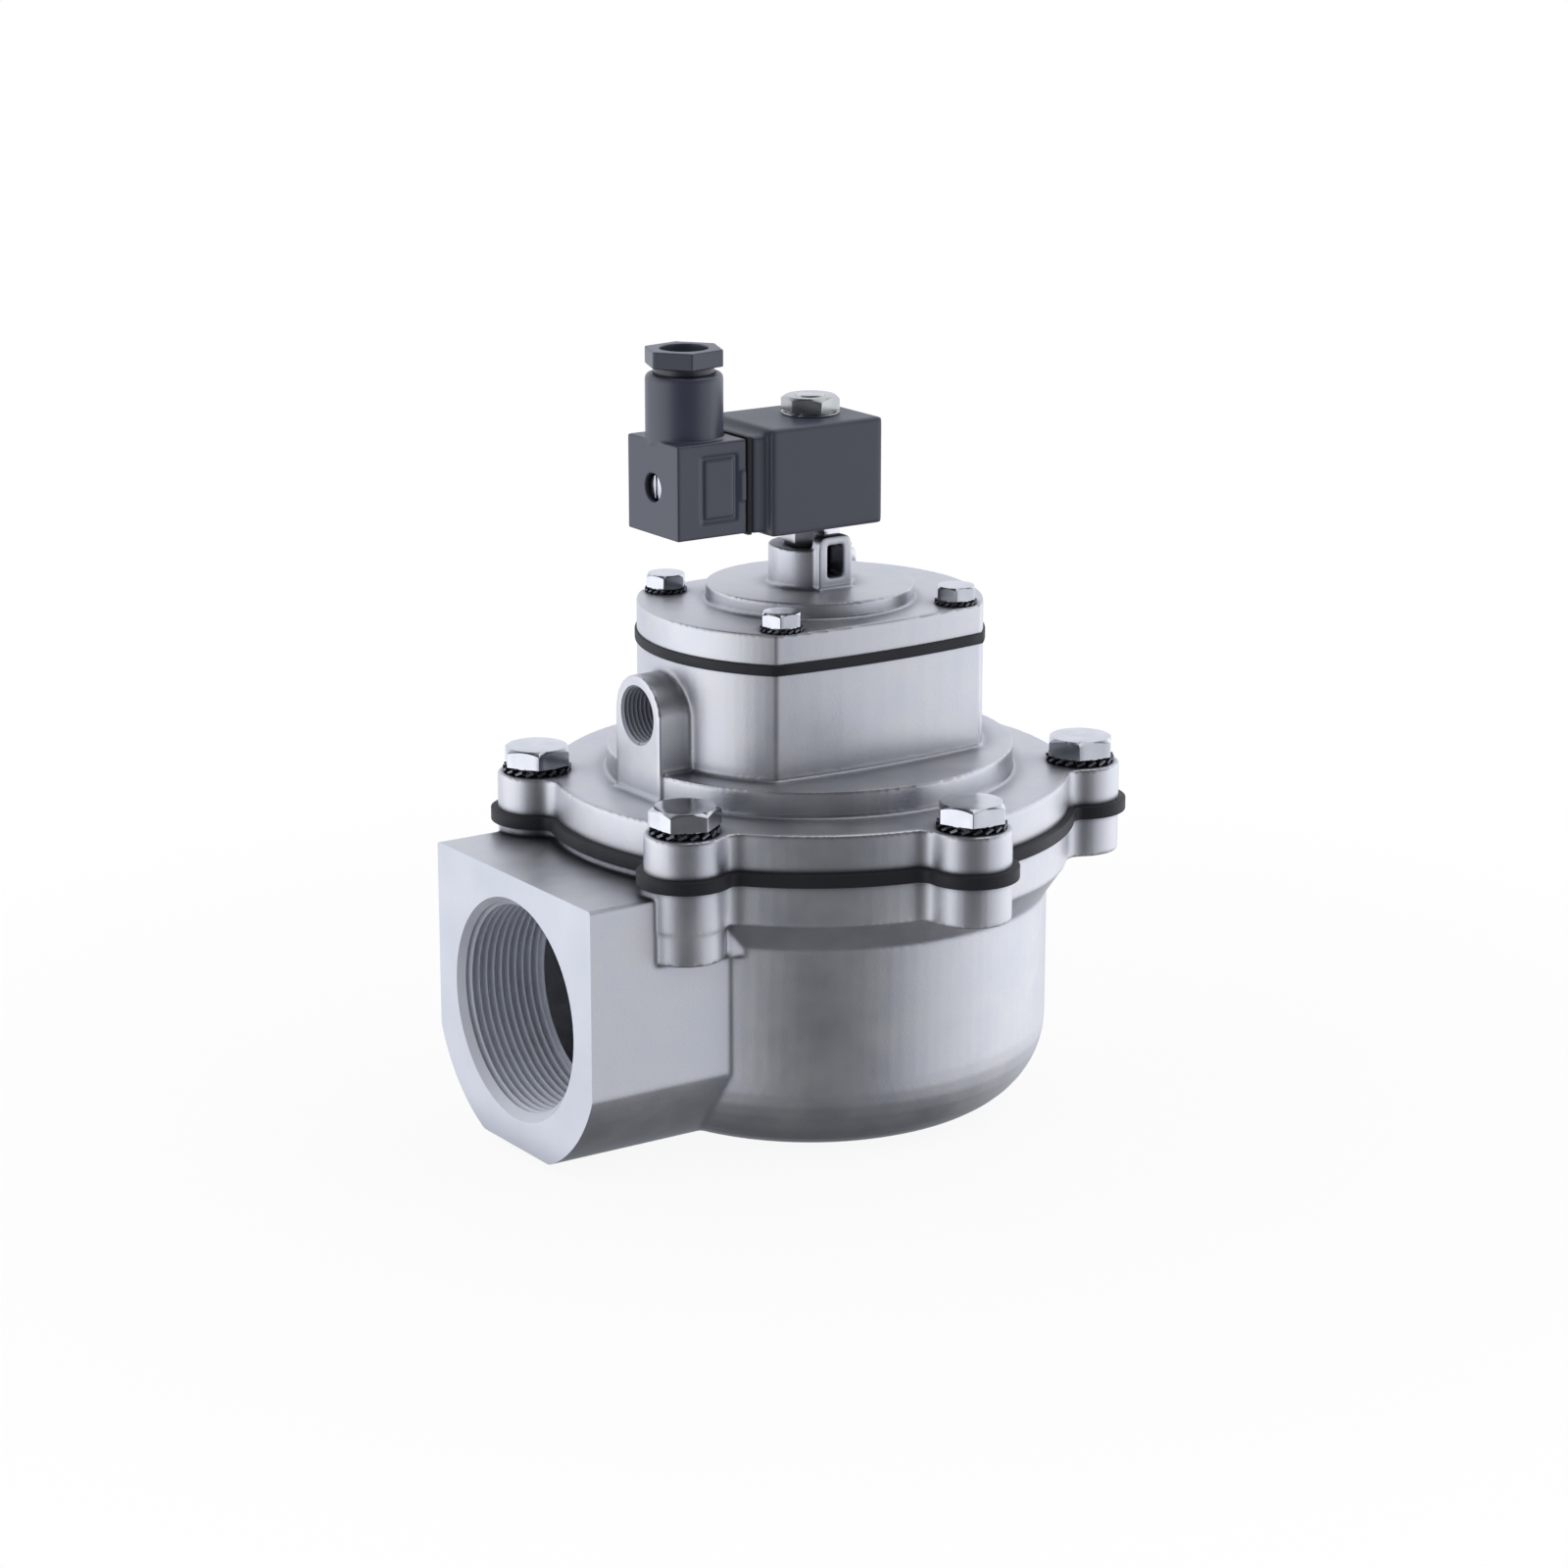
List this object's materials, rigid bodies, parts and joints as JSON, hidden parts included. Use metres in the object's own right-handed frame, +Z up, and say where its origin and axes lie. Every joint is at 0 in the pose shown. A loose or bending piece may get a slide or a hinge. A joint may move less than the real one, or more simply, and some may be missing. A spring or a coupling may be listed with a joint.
{
  "type": "pulse valve",
  "caption": "Right-angle diaphragm valve with a side inlet, a bottom outlet, a bolted cover, a pilot stage, and a solenoid coil with a cable plug on top.",
  "frame": {"origin": "centre of the outlet on the bottom face", "axes": "+Z up along the axis of the cup, the diaphragms and the coil; the inlet port, the exhaust hole and the cable plug point along -X"},
  "size_m": [0.1737, 0.1762, 0.2139],
  "materials": {
    "cast_aluminium": "die-cast and shot-blasted, satin, milled on the port face",
    "turned_aluminium": "turned, satin",
    "zinc_steel": "bright zinc plated",
    "washer_steel": "dull zinc plated",
    "stainless_steel": "turned stainless steel",
    "spring_steel": "drawn wire",
    "brass": "turned brass",
    "tinned_brass": "tinned brass sheet",
    "copper_wire": "enamelled copper wire",
    "black_rubber": "moulded nitrile rubber with cloth inside",
    "bobbin_plastic": "moulded nylon",
    "coil_resin": "moulded epoxy resin, satin slate grey",
    "black_nylon": "glass-filled nylon, satin slate grey"
  },
  "bodies": {
    "valve": {"valve_body": "cast_aluminium", "main_cover": "cast_aluminium", "top_cover": "cast_aluminium", "main_bolts": "zinc_steel", "main_lock_washers": "washer_steel", "cover_bolts": "zinc_steel", "cover_lock_washers": "washer_steel", "main_diaphragm": "black_rubber", "main_spring": "spring_steel", "pilot_diaphragm": "black_rubber", "pilot_spring": "spring_steel", "pilot_orifice": "brass", "core_tube": "stainless_steel", "tube_seal": "black_rubber", "fixed_core": "stainless_steel", "plunger_spring": "spring_steel", "coil_washer": "zinc_steel", "coil_nut": "zinc_steel"},
    "main_piston": {"seat_seal": "black_rubber", "guide_disc": "turned_aluminium", "diaphragm_plate": "turned_aluminium", "diaphragm_screw": "zinc_steel", "diaphragm_nut": "zinc_steel"},
    "pilot_piston": {"pilot_plate": "turned_aluminium", "pilot_disc": "turned_aluminium", "pilot_rivet": "brass"},
    "plunger_group": {"plunger": "stainless_steel", "plunger_seal": "black_rubber"},
    "coil": {"coil_housing": "coil_resin", "coil_yoke": "washer_steel", "coil_bobbin": "bobbin_plastic", "coil_winding": "copper_wire", "coil_terminals": "tinned_brass", "plug_gasket": "black_rubber", "plug_housing": "black_nylon", "plug_insert": "black_nylon", "plug_screw": "zinc_steel", "gland_seal": "black_rubber", "gland_washer": "tinned_brass", "gland_nut": "black_nylon"}
  },
  "joints": [
    {"name": "main_lift", "type": "slide", "parent": "valve", "child": "main_piston", "axis": [0, 0, 1], "range_m": [0, 0.012], "stiffness_N_per_m": 400, "springref_m": -0.01, "deforming": ["main_spring", "main_diaphragm"]},
    {"name": "pilot_lift", "type": "slide", "parent": "valve", "child": "pilot_piston", "axis": [0, 0, 1], "range_m": [0, 0.004], "stiffness_N_per_m": 60, "springref_m": -0.005, "deforming": ["pilot_spring", "pilot_diaphragm"]},
    {"name": "plunger_lift", "type": "slide", "parent": "valve", "child": "plunger_group", "axis": [0, 0, 1], "range_m": [0, 0.0018], "stiffness_N_per_m": 80, "springref_m": -0.005, "deforming": ["plunger_spring"]},
    {"name": "coil_swivel", "type": "hinge", "parent": "valve", "child": "coil", "pos_m": [0, 0, 0.16], "axis": [0, 0, 1], "continuous": true}
  ]
}
